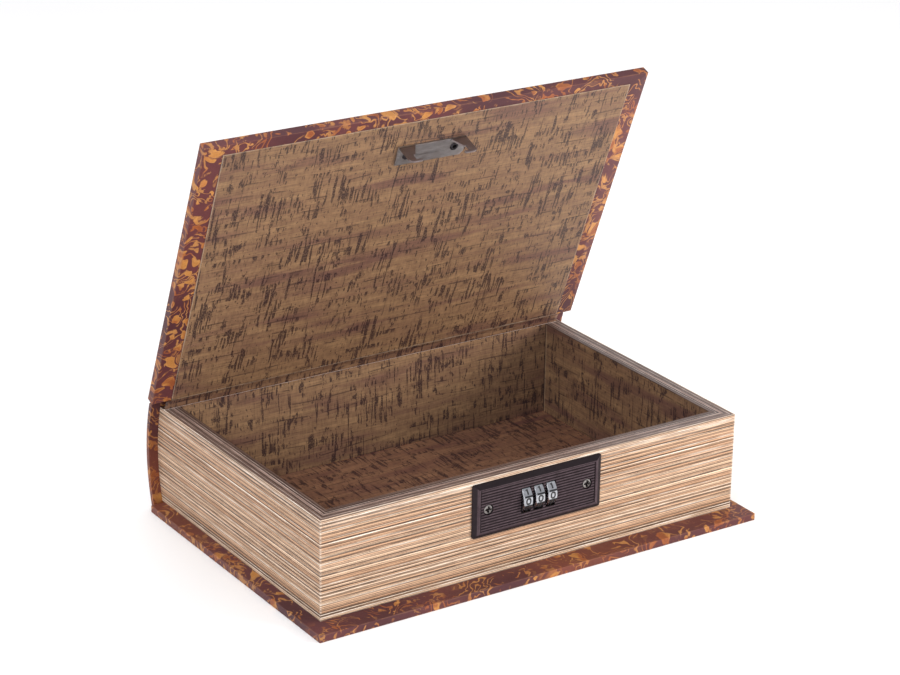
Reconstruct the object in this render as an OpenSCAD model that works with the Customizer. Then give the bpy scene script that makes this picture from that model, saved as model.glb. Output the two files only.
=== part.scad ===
// Book-shaped keepsake box with a three-wheel combination lock.
// Frame: +X along the fore edge, +Y from the fore edge to the spine, +Z up.
// The origin is on the underside, in the middle of the page block. Millimetres.

/* [Page block] */
// Length of the page block along the fore edge
block_w = 242; // [200:1:280]
// Depth of the page block, from the fore edge to the spine corners
block_d = 158; // [150:1:170]
// Height of the page block above the base cover
block_h = 51.3; // [50:0.1:53]
// Thickness of the two side walls with their papers
side_wall_t = 9; // [7:0.5:12]
// Thickness of the fore-edge wall with its papers
front_wall_t = 9.5; // [9:0.1:9.5]
// Thickness of the spine-side wall at its thinnest
back_wall_t = 5.3; // [4:0.1:6]

/* [Covers] */
// Thickness of the base cover with its paper
base_t = 3.8; // [3.4:0.1:4.4]
// Thickness of the lid with its paper
lid_t = 4.8; // [4.4:0.1:5]
// How far both covers stand out past the left end of the page block
left_overhang = 7.7; // [5:0.1:12]
// How far both covers stand out past the right end of the page block
right_overhang = 6.3; // [5:0.1:7.7]
// How far the base cover stands out past the fore edge
front_overhang = 12.5; // [10:0.1:16]
// Depth of the lid from its spine end to its fore edge
lid_len = 161.05; // [159.5:0.05:163]
// Where the base cover ends on the spine side
base_back_y = 75.9; // [74:0.1:76.5]
// Thickness of one layer of printed paper
paper_t = 0.4; // [0.3:0.05:0.5]
// Thickness of one layer of lining paper
lining_t = 0.25; // [0.2:0.05:0.3]

/* [Spine] */
// Radius of the outside of the rounded spine
spine_r = 95; // [90:1:100]
// Thickness of the spine with its paper
spine_t = 2.6; // [2.2:0.1:2.8]
// Length of the spine
spine_w = 252; // [248:1:254]
// Height of the top edge of the spine
spine_top = 57.8; // [57:0.1:58]

/* [Lid hinge] */
// Angle that the lid stands open, measured from closed
lid_open = 68; // [0:1:105]

/* [Lock] */
// Width of the lock's faceplate
plate_w = 75; // [72:1:78]
// Height of the lock's faceplate
plate_h = 28; // [27:0.5:29]
// How far the faceplate stands out from the fore edge
plate_t = 2; // [1.8:0.1:2.2]
// Distance between neighbouring number wheels
wheel_pitch = 7.15; // [7.1:0.05:7.3]
// Thickness of a number wheel
wheel_t = 5.2; // [5.1:0.05:5.3]
// Radius of a number wheel over its corners
wheel_r = 7.9; // [7.8:0.05:8]
// How far the striker and its hooks sit to the right of the middle
catch_x = 1.2; // [0:0.1:1.5]
// Gates in each cam disc: with 1 the latch is free at 0 only, as in a real lock, and with 2 also at 5
gate_count = 2; // [1:1:2]

/* [Hidden] */
$fn = 96;
wheel_sides = 10;

// Page block
half_w = block_w / 2;
front_y = -block_d / 2;
back_y = block_d / 2;
block_top = base_t + block_h;
wall_in_x = half_w - side_wall_t;
wall_in_front = front_y + front_wall_t;
wall_in_back = back_y - back_wall_t;
wood_z0 = base_t;
wood_z1 = block_top - paper_t;

// Spine arc: its centre lies on the mid height of the box
spine_cz = 29.2;
spine_mid_y = back_y + 5.3;
spine_cy = spine_mid_y - spine_r;
spine_bottom = 0.2;
block_back_r = spine_r - spine_t - 0.1;

// Covers
cover_left = half_w + left_overhang;
cover_right = half_w + right_overhang;
base_front_y = front_y - front_overhang;

// Lid hinge line, and the lid's section about it with the lid closed
hinge_y = 75.85;
hinge_z = 58.6;
lid_gap = 3;
lid_in_z = -3;
lid_out_z = lid_in_z + lid_t;
lid_back = -lid_gap;
lid_front = -lid_gap - lid_len;
lining_side_margin = 11;
lining_right_margin = 10;
lining_fore_margin = 5.7;
lining_back_margin = 0.3;
turn_in = 15;

// Lock, in the box frame
lock_z = 39.2;
window_w = 66;
window_z0 = 27.2;
window_z1 = 51.2;
plate_front = front_y - plate_t;
panel_y = plate_front + 0.6;
axle_y = panel_y + 5;
axle_r = 1.45;
bore_r = 1.52;
screw_x = 28.9;
hub_r = 2.75;
gate_disc_r = 4.2;
gate_disc_t = 1.3;
gate_half = 1.1;
gate_depth = 1.6;
latch_travel = 1.6;
case_x = 36;
case_z0 = 26.2;
case_z1 = 52.3;
case_back = -64.3;
case_wall = 1.4;
pin_offset = 23;
pin_r = 1.2;
pin_hole_r = 1.28;

// Striker, in the lid frame
hook_s = 141.35;
striker_half = 19.8;
striker_depth = 11.1;
striker_t = 1;
hook_h = 11.4;
rivet_x = catch_x + 13.5;
rivet_y = -lid_gap - 136.25;
striker_screw_x = catch_x - 14.6;
striker_screw_y = -lid_gap - 135.45;

// ---------- Helpers ----------

// A box between two opposite corners
module span(x, y, z) {
    translate([x[0], y[0], z[0]])
        cube([x[1] - x[0], y[1] - y[0], z[1] - z[0]]);
}

// Runs a [y, z] outline along X between two x values
module along_x(x0, x1) {
    translate([x0, 0, 0])
        rotate([90, 0, 90])
            linear_extrude(x1 - x0)
                children();
}

// A cylinder along X between two x values
module rod_x(x0, x1, r) {
    translate([x0, 0, 0])
        rotate([0, 90, 0])
            cylinder(h = x1 - x0, r = r);
}

// A cylinder along Y between two y values
module rod_y(y0, y1, r) {
    translate([0, y0, 0])
        rotate([-90, 0, 0])
            cylinder(h = y1 - y0, r = r);
}

// [y, z] outline between two arcs about the spine's centre
module spine_band(r_in, r_out, z0, z1) {
    intersection() {
        translate([spine_cy, spine_cz])
            difference() {
                circle(r_out, $fn = 256);
                circle(r_in, $fn = 256);
            }
        translate([spine_cy + r_in - 12, z0])
            square([40, z1 - z0]);
    }
}

// [y, z] outline of the page block's section, from a front line to its rounded back
module block_section(y0, z0, z1, r) {
    intersection() {
        translate([spine_cy, spine_cz])
            circle(r, $fn = 256);
        translate([y0, z0])
            square([back_y + 10 - y0, z1 - z0]);
    }
}

// Places a piece that is drawn about the hinge line, with the lid closed
module on_lid() {
    translate([0, hinge_y, hinge_z])
        rotate([-lid_open, 0, 0])
            children();
}

// ---------- Covers and spine ----------

module base_board() {
    color([0.62, 0.55, 0.45])
        span([-cover_left + paper_t, cover_right - paper_t],
            [base_front_y + paper_t, base_back_y - paper_t],
            [paper_t, base_t - paper_t]);
}

module base_cover_paper() {
    color([0.36, 0.2, 0.2])
        difference() {
            span([-cover_left, cover_right], [base_front_y, base_back_y], [0, base_t]);
            span([-cover_left + paper_t, cover_right - paper_t],
                [base_front_y + paper_t, base_back_y - paper_t],
                [paper_t, base_t - paper_t]);
            span([-wall_in_x, wall_in_x], [wall_in_front, wall_in_back], [paper_t, base_t + 1]);
        }
}

module spine_board() {
    color([0.62, 0.55, 0.45])
        along_x(-spine_w / 2 + paper_t, spine_w / 2 - paper_t)
            spine_band(spine_r - spine_t + paper_t, spine_r - paper_t,
                spine_bottom + paper_t, spine_top - paper_t);
}

// The paper turns in over the ends of the spine board and shows its inside past the page block
module spine_cover_paper() {
    color([0.36, 0.2, 0.2])
        difference() {
            along_x(-spine_w / 2, spine_w / 2)
                spine_band(spine_r - spine_t, spine_r, spine_bottom, spine_top);
            spine_board();
            along_x(-half_w + turn_in, half_w - turn_in)
                spine_band(spine_r - spine_t - 1, spine_r - spine_t + paper_t + 0.1, 8, 48);
        }
}

// Cover paper that bridges the groove between the spine's top edge and the lid; it folds
module hinge_cover_strip() {
    color([0.36, 0.2, 0.2])
        along_x(-spine_w / 2 + 1, spine_w / 2 - 1)
            polygon([[79.5, spine_top + 0.05], [79.95, spine_top + 0.05], [78.95, 60.1],
                [77, 62.2], [76.5, 62.1], [78.5, 59.9]]);
}

// Lining paper that bridges the crease between the rim and the lid; it folds
module hinge_lining_strip() {
    color([0.55, 0.43, 0.36])
        along_x(-half_w + 0.4, half_w - 2.6)
            polygon([[wall_in_back + 0.05, block_top + 0.05], [wall_in_back + 0.4, block_top + 0.05],
                [73.1, 57.7], [72.35, 60.2], [72, 60.15], [72.75, 57.7]]);
}

// ---------- Page block ----------

module front_wall() {
    color([0.72, 0.6, 0.46])
        difference() {
            span([-half_w + paper_t, half_w - paper_t],
                [front_y + paper_t, wall_in_front - lining_t], [wood_z0, wood_z1]);
            span([-window_w / 2, window_w / 2], [front_y - 1, wall_in_front + 1],
                [window_z0, window_z1]);
        }
}

module back_wall() {
    color([0.72, 0.6, 0.46])
        along_x(-half_w + paper_t, half_w - paper_t)
            block_section(wall_in_back + lining_t, wood_z0, wood_z1, block_back_r);
}

// A side wall runs between the front and the back wall; side is -1 for left and 1 for right
module side_wall(side) {
    x0 = side * (half_w - paper_t);
    x1 = side * (wall_in_x + lining_t);
    color([0.72, 0.6, 0.46])
        span([min(x0, x1), max(x0, x1)],
            [wall_in_front - lining_t, wall_in_back + lining_t], [wood_z0, wood_z1]);
}

module left_wall() {
    side_wall(-1);
}

module right_wall() {
    side_wall(1);
}

// Printed paper round the fore edge and both ends
module page_edge_paper() {
    color([0.82, 0.7, 0.55]) {
        difference() {
            span([-half_w, half_w], [front_y, front_y + paper_t], [base_t, block_top]);
            span([-window_w / 2, window_w / 2], [front_y - 1, front_y + 1],
                [window_z0, window_z1]);
        }
        for (x0 = [-half_w, half_w - paper_t])
            along_x(x0, x0 + paper_t)
                block_section(front_y + paper_t, base_t, block_top, block_back_r);
    }
}

// Printed paper on top of the front and side walls, mitred at the corners
module rim_paper() {
    color([0.6, 0.52, 0.46])
        difference() {
            span([-half_w + paper_t, half_w - paper_t], [front_y + paper_t, back_y - 1.2],
                [wood_z1, block_top]);
            span([-wall_in_x, wall_in_x], [wall_in_front, wall_in_back], [wood_z1 - 1, block_top + 1]);
            span([-wall_in_x, wall_in_x], [wall_in_back - 1, back_y + 1],
                [wood_z1 - 1, block_top + 1]);
        }
}

// Lining of the four walls; its back panel folds over the back wall's top
module wall_lining() {
    color([0.62, 0.52, 0.38])
        difference() {
            union() {
                span([-wall_in_x - lining_t, wall_in_x + lining_t],
                    [wall_in_front - lining_t, wall_in_back + lining_t],
                    [base_t, wood_z1]);
                span([-wall_in_x, wall_in_x], [wall_in_back, back_y - 1.2], [wood_z1, block_top]);
            }
            span([-wall_in_x, wall_in_x], [wall_in_front, wall_in_back], [base_t - 1, block_top + 1]);
            span([-window_w / 2, window_w / 2], [wall_in_front - 1, wall_in_front + 1],
                [window_z0, window_z1]);
        }
}

module floor_lining() {
    color([0.6, 0.48, 0.34])
        span([-wall_in_x, wall_in_x], [wall_in_front, wall_in_back],
            [base_t - paper_t, base_t - paper_t + lining_t]);
}

// ---------- Lid ----------

module lid_board() {
    color([0.62, 0.55, 0.45])
        on_lid()
            difference() {
                span([-cover_left + paper_t, cover_right - paper_t],
                    [lid_front + paper_t, lid_back - paper_t],
                    [lid_in_z + paper_t, lid_out_z - paper_t]);
                striker_holes();
            }
}

// Paper over the outside and the edges, turned in round the inner face
module lid_cover_paper() {
    color([0.36, 0.2, 0.2])
        on_lid()
            difference() {
                span([-cover_left, cover_right], [lid_front, lid_back], [lid_in_z, lid_out_z]);
                span([-cover_left + paper_t, cover_right - paper_t],
                    [lid_front + paper_t, lid_back - paper_t],
                    [lid_in_z + paper_t, lid_out_z - paper_t]);
                span([-cover_left + turn_in, cover_right - turn_in],
                    [lid_front + turn_in, lid_back - turn_in],
                    [lid_in_z - 1, lid_out_z - paper_t]);
            }
}

// Lining over the inner face: it fills the window that the turned-in paper leaves
module lid_lining() {
    color([0.66, 0.54, 0.38])
        on_lid()
            difference() {
                union() {
                    span([-cover_left + lining_side_margin, cover_right - lining_right_margin],
                        [lid_front + lining_fore_margin, lid_back - lining_back_margin],
                        [lid_in_z - lining_t, lid_in_z]);
                    span([-cover_left + turn_in, cover_right - turn_in],
                        [lid_front + turn_in, lid_back - turn_in],
                        [lid_in_z - lining_t, lid_in_z + paper_t]);
                }
                striker_holes();
            }
}

// ---------- Striker on the lid ----------

module striker_holes() {
    translate([rivet_x, rivet_y, lid_in_z - 3])
        cylinder(h = 5.2, r = 1.65, $fn = 48);
    translate([striker_screw_x, striker_screw_y, lid_in_z - 3])
        cylinder(h = 6.4, r = 0.95, $fn = 48);
}

// One hook outline in [x, height]: side is -1 for the left hook and 1 for the right
module hook_outline(side) {
    mirror([side < 0 ? 1 : 0, 0])
        polygon([[striker_half - 0.4, 0], [striker_half - 0.4, 9.4], [striker_half - 1, 10.8],
            [striker_half - 2.2, hook_h], [12.9, hook_h], [12.1, hook_h - 0.6], [12.3, 10],
            [15.4, 10], [15.4, 6.6], [14.1, 6.5], [10.3, 0]]);
}

// Bent sheet: a flat with two hooks that stand towards the tray
module striker_plate() {
    top_z = lid_in_z - lining_t;
    color([0.6, 0.58, 0.6])
        on_lid()
            difference() {
                union() {
                    translate([catch_x, 0, top_z - striker_t])
                        linear_extrude(striker_t)
                            polygon([[-striker_half, -lid_gap - hook_s],
                                [striker_half, -lid_gap - hook_s],
                                [striker_half, -lid_gap - hook_s + striker_depth - 2],
                                [striker_half - 1.8, -lid_gap - hook_s + striker_depth],
                                [-striker_half, -lid_gap - hook_s + striker_depth]]);
                    for (side = [-1, 1])
                        translate([catch_x, -lid_gap - hook_s, top_z - striker_t + 0.01])
                            rotate([-90, 0, 0])
                                linear_extrude(striker_t)
                                    hook_outline(side);
                }
                translate([rivet_x, rivet_y, top_z - striker_t - 1])
                    cylinder(h = striker_t + 2, r = 1.7, $fn = 48);
                translate([striker_screw_x, striker_screw_y, top_z - striker_t - 1])
                    cylinder(h = striker_t + 2, r = 1.1, $fn = 48);
            }
}

// Small countersunk screw with a cross recess
module striker_screw() {
    top_z = lid_in_z - lining_t - striker_t;
    color([0.2, 0.19, 0.2])
        on_lid()
            translate([striker_screw_x, striker_screw_y, top_z])
                difference() {
                    union() {
                        translate([0, 0, -0.6])
                            cylinder(h = 0.6, r = 1.7, $fn = 48);
                        cylinder(h = 4.2, r = 0.9, $fn = 48);
                    }
                    for (turn = [0, 90])
                        rotate([0, 0, turn])
                            translate([-1.1, -0.2, -1])
                                cube([2.2, 0.4, 0.8]);
                }
}

// Hollow eyelet with a raised rim
module striker_eyelet() {
    top_z = lid_in_z - lining_t - striker_t;
    color([0.7, 0.68, 0.68])
        on_lid()
            translate([rivet_x, rivet_y, top_z])
                rotate_extrude($fn = 64)
                    polygon([[1.2, -0.35], [1.5, -0.6], [2, -0.55], [2.35, -0.25], [2.35, 0],
                        [1.6, 0], [1.6, 2.9], [1.2, 2.9]]);
}

// ---------- Lock ----------

// Bevelled plate blank: two sloped outlines and a round-cornered slab, crossed with each other
module plate_blank() {
    edge_t = 0.7;
    bevel_x = 3.2;
    bevel_z = 2.7;
    corner_r = 1.3;
    flat_x = plate_w / 2 - corner_r;
    flat_z = plate_h / 2 - corner_r;
    intersection() {
        union() {
            span([-flat_x, flat_x], [plate_front - 1, front_y], [lock_z - plate_h / 2, lock_z + plate_h / 2]);
            span([-plate_w / 2, plate_w / 2], [plate_front - 1, front_y], [lock_z - flat_z, lock_z + flat_z]);
            for (x = [-flat_x, flat_x], z = [lock_z - flat_z, lock_z + flat_z])
                translate([x, 0, z])
                    rod_y(plate_front - 1, front_y, corner_r);
        }
        translate([0, 0, lock_z - plate_h / 2])
            linear_extrude(plate_h)
                polygon([[-plate_w / 2, front_y], [plate_w / 2, front_y],
                    [plate_w / 2, front_y - edge_t], [plate_w / 2 - bevel_x, plate_front],
                    [-plate_w / 2 + bevel_x, plate_front], [-plate_w / 2, front_y - edge_t]]);
        along_x(-plate_w / 2, plate_w / 2)
            polygon([[front_y, lock_z - plate_h / 2], [front_y, lock_z + plate_h / 2],
                [front_y - edge_t, lock_z + plate_h / 2], [plate_front, lock_z + plate_h / 2 - bevel_z],
                [plate_front, lock_z - plate_h / 2 + bevel_z],
                [front_y - edge_t, lock_z - plate_h / 2]]);
    }
}

// Faceplate: bevelled frame, sunk panel with ribs, three wheel slots, two screw seats, and a
// pocket behind the panel for each cam disc
module lock_faceplate() {
    panel_half_w = plate_w / 2 - 3.8;
    panel_half_h = plate_h / 2 - 3.2;
    rib_count = 15;
    rib_pitch = 2 * panel_half_h / rib_count;
    slot_w = wheel_t + 0.5;
    slot_half_h = 6.45;
    color([0.2, 0.17, 0.2])
        difference() {
            union() {
                difference() {
                    plate_blank();
                    span([-panel_half_w, panel_half_w], [plate_front - 1, panel_y],
                        [lock_z - panel_half_h, lock_z + panel_half_h]);
                }
                for (i = [0 : rib_count - 1])
                    span([-panel_half_w + 0.6, panel_half_w - 0.6], [panel_y - 0.35, panel_y + 0.1],
                        [lock_z - panel_half_h + (i + 0.25) * rib_pitch,
                            lock_z - panel_half_h + (i + 0.75) * rib_pitch]);
            }
            for (i = [-1 : 1]) {
                span([i * wheel_pitch - slot_w / 2, i * wheel_pitch + slot_w / 2],
                    [plate_front - 1, front_y + 1], [lock_z - slot_half_h, lock_z + slot_half_h]);
                translate([0, axle_y, lock_z])
                    rod_x(i * wheel_pitch - slot_w / 2, i * wheel_pitch + slot_w / 2, wheel_r + 0.35);
                translate([i * wheel_pitch, axle_y, lock_z])
                    rod_x(wheel_t / 2 - 0.1, wheel_t / 2 + gate_disc_t + 0.15, gate_disc_r + 0.15);
            }
            for (x = [-screw_x, screw_x])
                translate([x, 0, lock_z]) {
                    rod_y(plate_front - 1, front_y - 0.7, 2.8);
                    rod_y(plate_front - 1, front_y + 1, 1.4);
                }
        }
}

// Cross-recess machine screws that clamp the plate and the case on the wall
module lock_screws() {
    head_back = front_y - 0.7;
    color([0.75, 0.75, 0.76])
        for (x = [-screw_x, screw_x])
            translate([x, 0, lock_z])
                difference() {
                    union() {
                        intersection() {
                            rod_y(head_back - 1.1, head_back, 2.3);
                            translate([0, head_back + 4.9, 0])
                                sphere(6);
                        }
                        rod_y(head_back, front_y + 6, 1.25);
                    }
                    for (turn = [35, 125])
                        rotate([0, turn, 0])
                            span([-1.55, 1.55], [head_back - 2, head_back - 0.4], [-0.36, 0.36]);
                }
}

// Case: an open box that bears on the inside of the wall, with screw posts and axle brackets
module lock_case() {
    inner_x = case_x - case_wall;
    plate_face = case_back - case_wall;
    color([0.5, 0.49, 0.5])
        difference() {
            union() {
                difference() {
                    span([-case_x, case_x], [wall_in_front, case_back], [case_z0, case_z1]);
                    span([-inner_x, inner_x], [wall_in_front - 1, plate_face],
                        [case_z0 + case_wall, case_z1 - case_wall]);
                }
                for (x = [-screw_x, screw_x])
                    translate([x, 0, lock_z])
                        rod_y(front_y, plate_face + 0.1, 3.2);
                span([-11.9, -10.3], [front_y + 0.3, plate_face + 0.1], [34, 42.4]);
                span([11.5, 13.1], [front_y + 0.3, plate_face + 0.1], [34, 42.4]);
            }
            for (x = [-screw_x, screw_x])
                translate([x, 0, lock_z])
                    rod_y(front_y - 1, front_y + 7, 1.3);
            translate([0, axle_y, lock_z])
                rod_x(-13, 14, axle_r + 0.05);
            for (side = [-1, 1])
                span([catch_x + side * 14.9 - 5.2, catch_x + side * 14.9 + 5.2],
                    [wall_in_front - 1, wall_in_front + 2.8], [case_z1 - 3, case_z1 + 1]);
            for (side = [-1, 1])
                translate([catch_x + side * pin_offset, 0, 48])
                    rod_y(plate_face - 1, case_back + 1, pin_r + 0.01);
        }
}

module wheel_axle() {
    color([0.7, 0.7, 0.72])
        translate([0, axle_y, lock_z])
            rod_x(-12.3, 13.5, axle_r);
}

// Number wheel i: ten flats with broken edges, turned so that a flat faces the front
module number_wheel(i) {
    edge = 0.45;
    color([0.85, 0.85, 0.87])
        translate([i * wheel_pitch, axle_y, lock_z])
            difference() {
                intersection() {
                    rotate([0, 90, 0])
                        cylinder(h = wheel_t, r = wheel_r, center = true, $fn = wheel_sides);
                    rotate([0, 90, 0])
                        rotate_extrude()
                            polygon([[0, -wheel_t / 2], [wheel_r - edge - 0.3, -wheel_t / 2],
                                [wheel_r, -wheel_t / 2 + edge], [wheel_r, wheel_t / 2 - edge],
                                [wheel_r - edge - 0.3, wheel_t / 2], [0, wheel_t / 2]]);
                }
                rod_x(-wheel_t, wheel_t, hub_r + 0.05);
            }
}

module number_wheel_1() {
    number_wheel(-1);
}

module number_wheel_2() {
    number_wheel(0);
}

module number_wheel_3() {
    number_wheel(1);
}

// Cam sleeve i: a hub inside its wheel and a disc beside it, with a gate behind it for 0 and, where
// gate_count is 2, an opposite one for 5 that a real lock doesn't have
module cam_sleeve(i) {
    disc_x = wheel_t / 2 + 0.02;
    color([0.8, 0.65, 0.35])
        translate([i * wheel_pitch, axle_y, lock_z])
            difference() {
                union() {
                    rod_x(-wheel_t / 2, disc_x, hub_r);
                    rod_x(disc_x, disc_x + gate_disc_t, gate_disc_r);
                }
                rod_x(-wheel_t, wheel_t + 2, bore_r);
                for (gate = [1 : gate_count])
                    translate([0, (3 - 2 * gate) * (gate_disc_r - gate_depth + 1.5), 0])
                        span([disc_x - 0.01, disc_x + gate_disc_t + 1], [-1.5, 1.5],
                            [-gate_half, gate_half]);
            }
}

module cam_sleeve_1() {
    cam_sleeve(-1);
}

module cam_sleeve_2() {
    cam_sleeve(0);
}

module cam_sleeve_3() {
    cam_sleeve(1);
}

// Leaf comb that presses on the back flat of each wheel
module detent_spring() {
    back_face = case_back - case_wall;
    tip_y = axle_y + wheel_r + 0.1;
    color([0.75, 0.74, 0.7]) {
        span([-11, 11], [back_face - 0.35, back_face], [28.2, 32]);
        for (i = [-1 : 1])
            along_x(i * wheel_pitch - 1.8, i * wheel_pitch + 1.8)
                polygon([[back_face, 31.9], [back_face - 0.35, 31.9], [tip_y, 38.4], [tip_y, 40],
                    [tip_y + 1, 42.6], [tip_y + 1.35, 42.6], [tip_y + 0.35, 40], [tip_y + 0.35, 38.4]]);
    }
}

module detent_rivets() {
    back_face = case_back - case_wall;
    color([0.7, 0.68, 0.66])
        for (x = [-3.5, 3.5])
            translate([x, 0, 30])
                rod_y(back_face - 1.05, back_face - 0.35, 1.1);
}

// Sliding latch: a bridge over the wheels, an ear for each hook, a finger for each gate and two lugs
module latch_plate() {
    sheet_z0 = 47.4;
    sheet_z1 = 48.6;
    finger_x = wheel_t / 2 + 0.25;
    color([0.72, 0.71, 0.68])
        difference() {
            union() {
                span([catch_x - 25.6, catch_x + 25.6], [-73.5, -69.3], [sheet_z0, sheet_z1]);
                span([catch_x - 20.4, catch_x + 20.4], [-75, -69.3], [sheet_z0, sheet_z1]);
                span([catch_x - 11.6, catch_x + 11.6], [-75, -67.7], [sheet_z0, sheet_z1]);
                for (side = [-1, 1]) {
                    along_x(catch_x + side * 13.2 - 1.8, catch_x + side * 13.2 + 1.8)
                        polygon([[-71, 45.4], [-67.2, 45.4], [-67.2, 45.8], [-69, 47.6],
                            [-69, sheet_z1], [-71, sheet_z1]]);
                    span([catch_x + side * pin_offset - 2.6, catch_x + side * pin_offset + 2.6],
                        [-73.5, -71.5], [45.4, 50.6]);
                }
                for (i = [-1 : 1])
                    translate([i * wheel_pitch + finger_x, 0, 0]) {
                        span([0, 1], [-68.7, -67.7], [38.5, sheet_z1]);
                        span([0, 1], [axle_y + gate_disc_r + 0.3, -68.6], [38.5, 39.9]);
                    }
            }
            for (side = [-1, 1])
                translate([catch_x + side * pin_offset, 0, 48])
                    rod_y(-80, -66, pin_hole_r);
        }
}

// Shouldered pins that the latch slides on
module latch_guide_pins() {
    color([0.7, 0.7, 0.72])
        for (side = [-1, 1])
            translate([catch_x + side * pin_offset, 0, 48]) {
                rod_y(-77.5, -76.9, 2.1);
                rod_y(-76.95, case_back, pin_r);
                rod_y(-69, case_back - case_wall, 2);
            }
}

// Coil spring on a guide pin, from the pin's head to the latch's lug: a tube swept along a helix
module latch_spring(side) {
    wire_r = 0.18;
    coil_r = 1.65;
    turns = 4;
    steps = 20;
    ring = 6;
    y0 = -76.9 + wire_r;
    length = 3.4 - 2 * wire_r;
    points = [for (i = [0 : turns * steps], k = [0 : ring - 1])
        let (turn = 360 * i / steps, r = coil_r + wire_r * cos(360 * k / ring))
            [r * cos(turn), y0 + length * i / (turns * steps) + wire_r * sin(360 * k / ring),
                r * sin(turn)]];
    sides = [for (i = [0 : turns * steps - 1], k = [0 : ring - 1])
        [i * ring + k, i * ring + (k + 1) % ring, (i + 1) * ring + (k + 1) % ring,
            (i + 1) * ring + k]];
    first = [for (k = [ring - 1 : -1 : 0]) k];
    last = [for (k = [0 : ring - 1]) turns * steps * ring + k];
    color([0.75, 0.75, 0.77])
        translate([catch_x + side * pin_offset, 0, 48])
            polyhedron(points, concat(sides, [first, last]));
}

module latch_spring_left() {
    latch_spring(-1);
}

module latch_spring_right() {
    latch_spring(1);
}

base_board();
base_cover_paper();
front_wall();
back_wall();
left_wall();
right_wall();
page_edge_paper();
rim_paper();
wall_lining();
floor_lining();
spine_board();
spine_cover_paper();
hinge_cover_strip();
hinge_lining_strip();
lid_board();
lid_cover_paper();
lid_lining();
striker_plate();
striker_screw();
striker_eyelet();
lock_faceplate();
lock_case();
lock_screws();
wheel_axle();
number_wheel_1();
number_wheel_2();
number_wheel_3();
cam_sleeve_1();
cam_sleeve_2();
cam_sleeve_3();
detent_spring();
detent_rivets();
latch_plate();
latch_guide_pins();
latch_spring_left();
latch_spring_right();
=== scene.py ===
"""Book-shaped keepsake box with a three-wheel combination lock: finishes, folds and small pieces.

Frame: +X along the fore edge, +Y towards the spine, +Z up, in metres.
"""
import math

import bmesh
import bpy
from mathutils import Matrix, Vector, noise


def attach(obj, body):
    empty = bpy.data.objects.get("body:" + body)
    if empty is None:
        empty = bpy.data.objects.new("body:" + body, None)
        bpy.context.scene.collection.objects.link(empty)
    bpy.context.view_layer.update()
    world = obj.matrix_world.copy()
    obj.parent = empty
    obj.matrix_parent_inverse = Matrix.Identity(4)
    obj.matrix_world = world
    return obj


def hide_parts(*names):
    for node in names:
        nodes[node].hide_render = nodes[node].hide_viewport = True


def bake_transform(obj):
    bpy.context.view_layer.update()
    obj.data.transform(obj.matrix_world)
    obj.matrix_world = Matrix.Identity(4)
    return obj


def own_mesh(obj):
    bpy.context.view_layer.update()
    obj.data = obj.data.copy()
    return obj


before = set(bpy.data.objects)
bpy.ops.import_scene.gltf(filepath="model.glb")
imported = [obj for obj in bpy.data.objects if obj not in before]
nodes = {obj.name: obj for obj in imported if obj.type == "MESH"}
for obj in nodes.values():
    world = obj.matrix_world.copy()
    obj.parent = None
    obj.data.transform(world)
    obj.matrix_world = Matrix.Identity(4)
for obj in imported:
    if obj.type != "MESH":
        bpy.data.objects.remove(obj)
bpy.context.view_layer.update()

# Places and sizes in millimetres
MM = 0.001
LID_OPEN = math.radians(68)
HINGE_Y = 75.85
HINGE_Z = 58.6
AXLE_Y = -75.4
LOCK_Z = 39.2
LATCH_Z = 48
CATCH_X = 1.2
PIN_OFFSET = 23
SCREW_X = 28.9
WHEEL_PITCH = 7.15
WHEEL_APOTHEM = 7.9 * math.cos(math.pi / 10)
# The page block's half length and fore edge, and the inner faces of its walls
BLOCK_HALF, BLOCK_FRONT = 121, -79
TRAY_HALF, TRAY_FRONT, TRAY_BACK = 112, -69.5, 73.7
PAGE_PITCH = 1.9


def mm(*values):
    """A point or a size given in millimetres, as metres."""
    return tuple(v * MM for v in values)


def from_lid(y, z):
    """Where a [y, z] point of the closed lid, measured from the hinge line, stands at rest."""
    c, s = math.cos(LID_OPEN), math.sin(LID_OPEN)
    return HINGE_Y + y * c + z * s, HINGE_Z - y * s + z * c


# ---------- Node helpers ----------

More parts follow.
